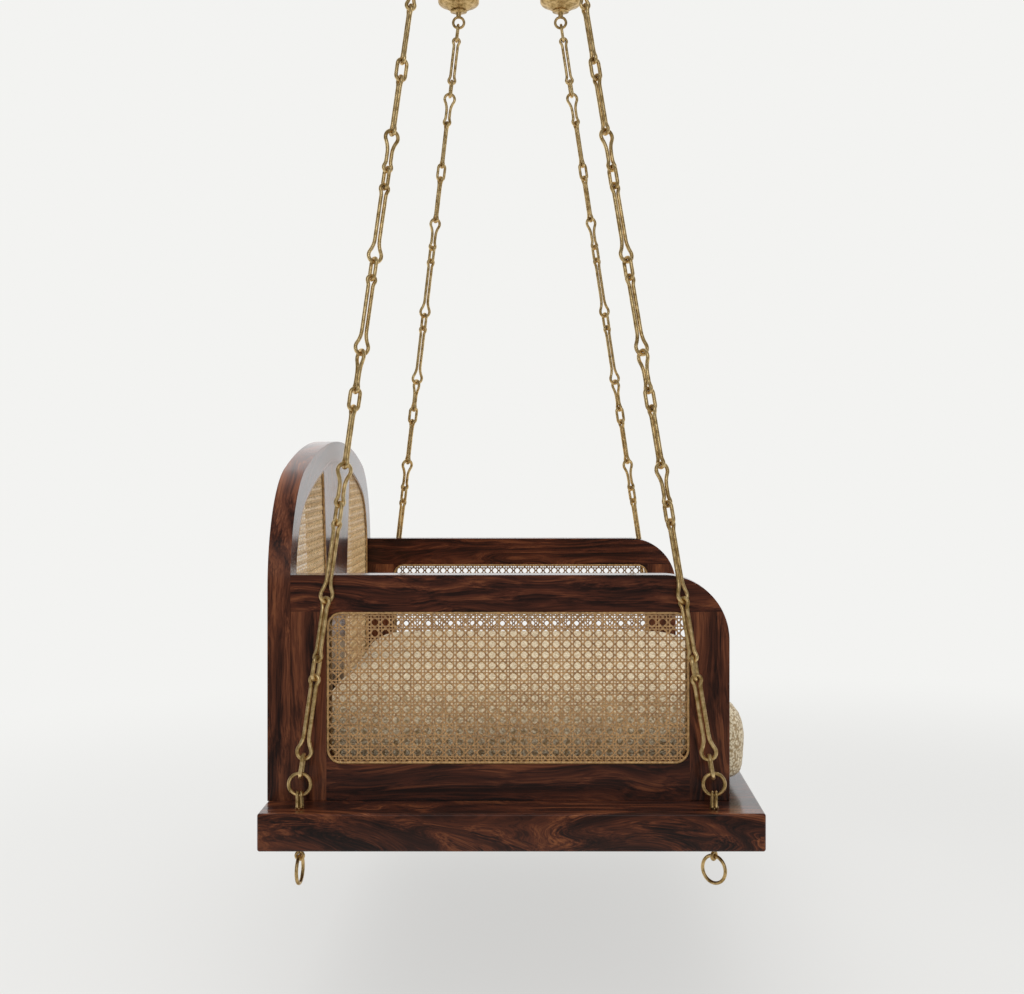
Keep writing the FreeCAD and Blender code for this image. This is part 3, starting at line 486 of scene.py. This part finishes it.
def weave_tree():
    """Geometry nodes that lay one woven cell on every point and join the lot."""
    tree = bpy.data.node_groups.new("six_way_cane", "GeometryNodeTree")
    face = tree.interface
    face.new_socket(name="Cells", in_out="INPUT", socket_type="NodeSocketGeometry")
    for label, value in (("Pitch Across", CANE_PITCH), ("Pitch Up", CANE_PITCH), ("Lift", 0.45 * MM),
                         ("Strand Width", 1.35 * MM), ("Diagonal Width", 1.6 * MM), ("Thickness", 0.5 * MM)):
        socket = face.new_socket(name=label, in_out="INPUT", socket_type="NodeSocketFloat")
        socket.default_value = value
    face.new_socket(name="Turn", in_out="INPUT", socket_type="NodeSocketRotation")
    face.new_socket(name="Finish", in_out="INPUT", socket_type="NodeSocketMaterial")
    face.new_socket(name="Weave", in_out="OUTPUT", socket_type="NodeSocketGeometry")
    given = add(tree, "NodeGroupInput").outputs
    cell = add(tree, "ShaderNodeCombineXYZ", {
        "X": given["Pitch Across"], "Y": given["Pitch Up"], "Z": given["Lift"]}).outputs[0]
    profiles = {}
    for diagonal, width in ((False, "Strand Width"), (True, "Diagonal Width")):
        profiles[diagonal] = add(tree, "GeometryNodeCurvePrimitiveQuadrilateral", {
            "Width": given[width], "Height": given["Thickness"]}).outputs["Curve"]
    join = add(tree, "GeometryNodeJoinGeometry")
    for points, diagonal in STRAND_SHARES:
        start, middle, end = [
            add(tree, "ShaderNodeVectorMath", {0: point, 1: cell}, operation="MULTIPLY").outputs[0]
            for point in points]
        line = add(tree, "GeometryNodeCurveQuadraticBezier", {
            "Resolution": 2 if diagonal else 3, "Start": start, "Middle": middle, "End": end})
        level = add(tree, "GeometryNodeSetCurveNormal", {"Curve": line.outputs["Curve"]}, mode="Z_UP")
        strand = add(tree, "GeometryNodeCurveToMesh", {
            "Curve": level.outputs["Curve"], "Profile Curve": profiles[diagonal]})
        tree.links.new(strand.outputs["Mesh"], join.inputs["Geometry"])
    laid = add(tree, "GeometryNodeInstanceOnPoints", {
        "Points": given["Cells"], "Instance": join.outputs[0], "Rotation": given["Turn"]})
    real = add(tree, "GeometryNodeRealizeInstances", {"Geometry": laid.outputs["Instances"]})
    joined = add(tree, "GeometryNodeMergeByDistance", {"Geometry": real.outputs[0], "Distance": STRAND_WELD})
    named = add(tree, "GeometryNodeSetMaterial", {"Geometry": joined.outputs[0], "Material": given["Finish"]})
    add(tree, "NodeGroupOutput", {"Weave": named.outputs[0]})
    return tree


def set_inputs(modifier, **values):
    """Sets a geometry modifier's inputs by their sockets' identifiers."""
    names = {item.name.replace(" ", "_").lower(): item.identifier
             for item in modifier.node_group.interface.items_tree if item.in_out == "INPUT"}
    for name, value in values.items():
        modifier[names[name]] = value


WEAVE = weave_tree()


def woven_panel(node, cells, turn, pitch_across, pitch_up, strands):
    """The open weave of one panel, from the centres of its cells."""
    mesh = bpy.data.meshes.new(node + "_weave")
    mesh.from_pydata(cells, [], [])
    piece = link_object(node + "_weave", mesh)
    weave = piece.modifiers.new("weave", "NODES")
    weave.node_group = WEAVE
    set_inputs(weave, pitch_across=pitch_across, pitch_up=pitch_up, turn=turn, finish=strands)
    plain_result(piece)
    smooth(piece.data, CANE_ANGLE)
    settle(piece, strands, node)


ARM_COLUMNS = 34
ARM_ROWS = 14
for side, sign in SIDES.items():
    node = side + "_arm_cane"
    low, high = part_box(node)
    across = (high.x - low.x) / ARM_COLUMNS
    up = (high.z - low.z) / ARM_ROWS
    middle_y = (low.y + high.y) / 2
    # The first and last rows show as half cells: their other halves are pressed into the rails' grooves.
    cells = [(low.x + (column + 0.5) * across, middle_y, low.z + row * up)
             for column in range(ARM_COLUMNS) for row in range(ARM_ROWS + 1)]
    woven_panel(node, cells, (math.pi / 2, 0.0, 0.0 if sign < 0 else math.pi), across, up, cane)


def opening_half_width(z):
    """Half the width between the rim's inner edges at a height."""
    if z <= ARCH_SPRING:
        return ARCH_HALF - RIM
    beside = SIDE_CENTRE + math.sqrt(max(INNER_SIDE ** 2 - (z - ARCH_SPRING) ** 2, 0.0))
    above = math.sqrt(max(INNER_CROWN ** 2 - (z - INNER_CENTRE) ** 2, 0.0))
    return min(beside, above)


def splat_half_width(z):
    return SPLAT_FOOT + (SPLAT_HEAD - SPLAT_FOOT) * (z - BACK_FOOT) / (SPLAT_HEAD_Z - BACK_FOOT)


for side in SIDES:
    node = "back_cane_" + side
    low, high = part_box(node)
    columns = round((high.y - low.y) / CANE_PITCH)
    rows = round((high.z - low.z) / CANE_PITCH)
    across = (high.y - low.y) / columns
    up = (high.z - low.z) / rows
    reach = 0.5 * across
    cells = []
    for column in range(columns):
        for row in range(rows):
            y = low.y + (column + 0.5) * across
            z = low.z + (row + 0.5) * up
            inner = splat_half_width(z) - reach
            outer = opening_half_width(z - up / 2) + reach
            if inner < abs(y) < outer:
                cells.append(((low.x + high.x) / 2, y, z))
    woven_panel(node, cells, (math.pi / 2, 0.0, math.pi / 2), across, up, sheen_painted_back_cane)


# Cushion: a crowned pad, puffed by a short cloth simulation and covered in looped cloth.
PAD_GRID = 6.5 * MM
PAD_SHRINK = np.array([5.0, 5.0, 3.0])
PUFF_STEPS = 20
PUFF_REACH = 12.0 * MM
# The room left to the solid's box at its low and high corner, in millimetres.
LOW_ROOM = np.array([0.6, 1.0, 0.2])
HIGH_ROOM = np.array([0.5, 1.0, 0.5])
LUMP_SIZE = 8 * MM
LUMP_HEIGHT = 1.6 * MM


def vertex_places(mesh):
    places = np.zeros(len(mesh.vertices) * 3)
    mesh.vertices.foreach_get("co", places)
    return places.reshape(-1, 3)


def move_vertices(mesh, places):
    mesh.vertices.foreach_set("co", places.ravel())
    mesh.update()


def puffed_places(piece, places):
    """Where a short cloth simulation under pressure carries a pad's vertices, 12 mm at most."""
    cloth = piece.modifiers.new("puff", "CLOTH")
    cloth.settings.use_pressure = True
    cloth.settings.uniform_pressure_force = 4.0
    cloth.settings.quality = 6
    cloth.settings.tension_stiffness = 12
    cloth.settings.compression_stiffness = 12
    cloth.settings.bending_stiffness = 0.6
    cloth.settings.effector_weights.gravity = 0.0
    cloth.point_cache.frame_start = 1
    cloth.point_cache.frame_end = PUFF_STEPS
    scene = bpy.context.scene
    for step in range(1, PUFF_STEPS + 1):
        scene.frame_set(step)
    evaluated = piece.evaluated_get(bpy.context.evaluated_depsgraph_get())
    move = vertex_places(evaluated.to_mesh()) - places
    evaluated.to_mesh_clear()
    piece.modifiers.clear()
    scene.frame_set(1)
    length = np.linalg.norm(move, axis=1, keepdims=True)
    return places + move * np.minimum(1.0, PUFF_REACH / np.maximum(length, 1e-9))


def fitted_places(places, low, high):
    """Brings a pad back to the room between the arms, the back and the board."""
    least, most = places.min(axis=0), places.max(axis=0)
    floor = np.array(low) + LOW_ROOM * MM
    roof = np.array(high) - HIGH_ROOM * MM
    return floor + (places - least) / (most - least) * (roof - floor)


def padded_seat():
    node = "seat_cushion"
    piece = link_object("seat_cushion_boucle", merged_mesh(node, "seat_cushion_boucle", False))
    low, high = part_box(node)
    remesh = piece.modifiers.new("even", "REMESH")
    remesh.mode = "VOXEL"
    remesh.voxel_size = PAD_GRID
    plain_result(piece)
    centre = np.array([(low.x + high.x) / 2, (low.y + high.y) / 2, low.z])
    span = np.array(high) - np.array(low)
    places = vertex_places(piece.data)
    places = centre + (places - centre) * (1 - 2 * PAD_SHRINK * MM / span)
    move_vertices(piece.data, places)
    places = puffed_places(piece, places)
    move_vertices(piece.data, fitted_places(places, low, high))
    finer = piece.modifiers.new("finer", "SUBSURF")
    finer.levels = 1
    finer.render_levels = 1
    lumps = bpy.data.textures.new("boucle_lumps", "CLOUDS")
    lumps.noise_scale = LUMP_SIZE
    lumps.noise_depth = 1
    raised = piece.modifiers.new("raised", "DISPLACE")
    raised.texture = lumps
    raised.texture_coords = "LOCAL"
    raised.strength = LUMP_HEIGHT
    raised.mid_level = 0.75
    plain_result(piece)
    smooth(piece.data, 180.0)
    settle(piece, boucle, node)


padded_seat()


# Floor, light and camera.
FLOOR_PLACE = (0.4, 0.0, -1.50)
FLOOR_RADIUS = 14.0
FLOOR_CORNERS = 96
FLOOR_GLOW_SHARE = 0.68
SKY = "#f3f3f1"
# The way to the pale backdrop, and each lamp's place, aim, size in metres and power in watts, and
# whether it shows in what is mirrored.
BACKDROP_WAY = (0.0, 0.97, 0.25)
LAMPS = {
    "top_lamp": ((-0.3, -0.5, 1.2), (0.0, 0.0, -1.1), 2.6, 50.0, False),
    "front_lamp": ((0.15, -2.7, 0.1), (0.0, 0.0, -1.0), 1.8, 11.0, True),
}
# The camera stands 1737 mm off the near end of the back, and the frame is shifted by these pixels.
CAMERA_X = 68.9 * MM
CAMERA_AWAY = 1737.0 * MM
CAMERA_HEIGHT = 425.0 * MM
PHOTO_WIDTH = 1024.0
SHIFT_PIXELS = (-38.0, -44.0)


def studio_floor():
    """A pale seamless floor that fades into the backdrop's colour away from the seat."""
    material, tree = new_material("pale_floor")
    coords = add(tree, "ShaderNodeTexCoord").outputs["Object"]
    far = add(tree, "ShaderNodeVectorMath", {0: coords}, operation="LENGTH").outputs["Value"]
    fade = add(tree, "ShaderNodeMapRange", {"Value": far, "From Min": 0.7, "From Max": 2.6},
               interpolation_type="SMOOTHSTEP").outputs["Result"]
    matt = add(tree, "ShaderNodeBsdfDiffuse", {"Color": srgb("#dedddb")})
    depth = add(tree, "ShaderNodeSeparateXYZ", {0: coords}).outputs["Y"]
    dim = add(tree, "ShaderNodeMapRange", {
        "Value": depth, "From Min": -2.2, "From Max": -0.4, "To Min": 0.2, "To Max": 1.0}).outputs["Result"]
    glossy = add(tree, "ShaderNodeLightPath").outputs["Is Glossy Ray"]
    strength = add(tree, "ShaderNodeMix", {"Factor": glossy, "A": 1.0, "B": dim}).outputs["Result"]
    pale = add(tree, "ShaderNodeEmission", {"Color": srgb("#eeeeec"), "Strength": strength})
    near = add(tree, "ShaderNodeMixShader", {0: FLOOR_GLOW_SHARE, 1: matt.outputs[0], 2: pale.outputs[0]})
    glow = add(tree, "ShaderNodeEmission", {"Color": srgb(SKY), "Strength": strength})
    mixed = add(tree, "ShaderNodeMixShader", {0: fade, 1: near.outputs[0], 2: glow.outputs[0]})
    finish_material(tree, mixed.outputs[0])
    bpy.ops.mesh.primitive_circle_add(vertices=FLOOR_CORNERS, radius=FLOOR_RADIUS, fill_type="NGON",
                                      location=FLOOR_PLACE)
    floor = bpy.context.object
    floor.name = "studio_floor"
    floor.data.materials.append(material)


def white_room():
    """A white room with a pale backdrop behind the seat and a dimmer camera side."""
    world = bpy.data.worlds.new("studio")
    bpy.context.scene.world = world
    world.use_nodes = True
    tree = world.node_tree
    tree.nodes.clear()
    path = add(tree, "ShaderNodeLightPath").outputs
    way = add(tree, "ShaderNodeTexCoord").outputs["Generated"]
    facing = add(tree, "ShaderNodeVectorMath", {0: way, 1: BACKDROP_WAY},
                 operation="DOT_PRODUCT").outputs["Value"]
    mirrored = add(tree, "ShaderNodeMapRange", {
        "Value": facing, "From Min": 0.1, "From Max": 0.85, "To Min": 0.22, "To Max": 1.0},
        interpolation_type="SMOOTHSTEP").outputs["Result"]
    seen = add(tree, "ShaderNodeMath", {0: path["Is Glossy Ray"], 1: path["Is Transmission Ray"]},
               operation="MAXIMUM").outputs[0]
    around = add(tree, "ShaderNodeBackground", {"Color": srgb("#ffffff"), "Strength": 0.55})
    reflected = add(tree, "ShaderNodeBackground", {"Color": srgb("#ffffff"), "Strength": mirrored})
    shown = add(tree, "ShaderNodeBackground", {"Color": srgb(SKY), "Strength": 1.0})
    mixed = add(tree, "ShaderNodeMixShader", {0: seen, 1: around.outputs[0], 2: reflected.outputs[0]})
    mixed = add(tree, "ShaderNodeMixShader", {
        0: path["Is Camera Ray"], 1: mixed.outputs[0], 2: shown.outputs[0]})
    add(tree, "ShaderNodeOutputWorld", {"Surface": mixed.outputs[0]})


def studio_lamps():
    """A wide soft lamp above and a small one on the camera's side."""
    for name, (place, aim, size, power, mirrored) in LAMPS.items():
        lamp = bpy.data.lights.new(name, "AREA")
        lamp.size = size
        lamp.energy = power
        lamp_object = bpy.data.objects.new(name, lamp)
        bpy.context.scene.collection.objects.link(lamp_object)
        lamp_object.location = place
        turn = (Vector(aim) - Vector(place)).to_track_quat("-Z", "Y")
        lamp_object.rotation_euler = turn.to_euler()
        lamp_object.visible_camera = False
        lamp_object.visible_glossy = mirrored


def photo_camera():
    """Looks straight along +Y from just below the level of the back's top, with the frame shifted."""
    camera = bpy.data.cameras.new("camera")
    camera.lens = 50.0
    camera.sensor_width = 36.0
    camera.sensor_fit = "HORIZONTAL"
    camera.shift_x, camera.shift_y = (pixels / PHOTO_WIDTH for pixels in SHIFT_PIXELS)
    camera.clip_end = 60.0
    camera_object = bpy.data.objects.new("camera", camera)
    bpy.context.scene.collection.objects.link(camera_object)
    camera_object.location = (CAMERA_X, -(ARCH_HALF + CAMERA_AWAY), DECK_Z + CAMERA_HEIGHT)
    camera_object.rotation_euler = (math.pi / 2, 0.0, 0.0)
    bpy.context.scene.camera = camera_object


studio_floor()
white_room()
studio_lamps()
photo_camera()
bpy.context.scene.view_settings.view_transform = "Standard"
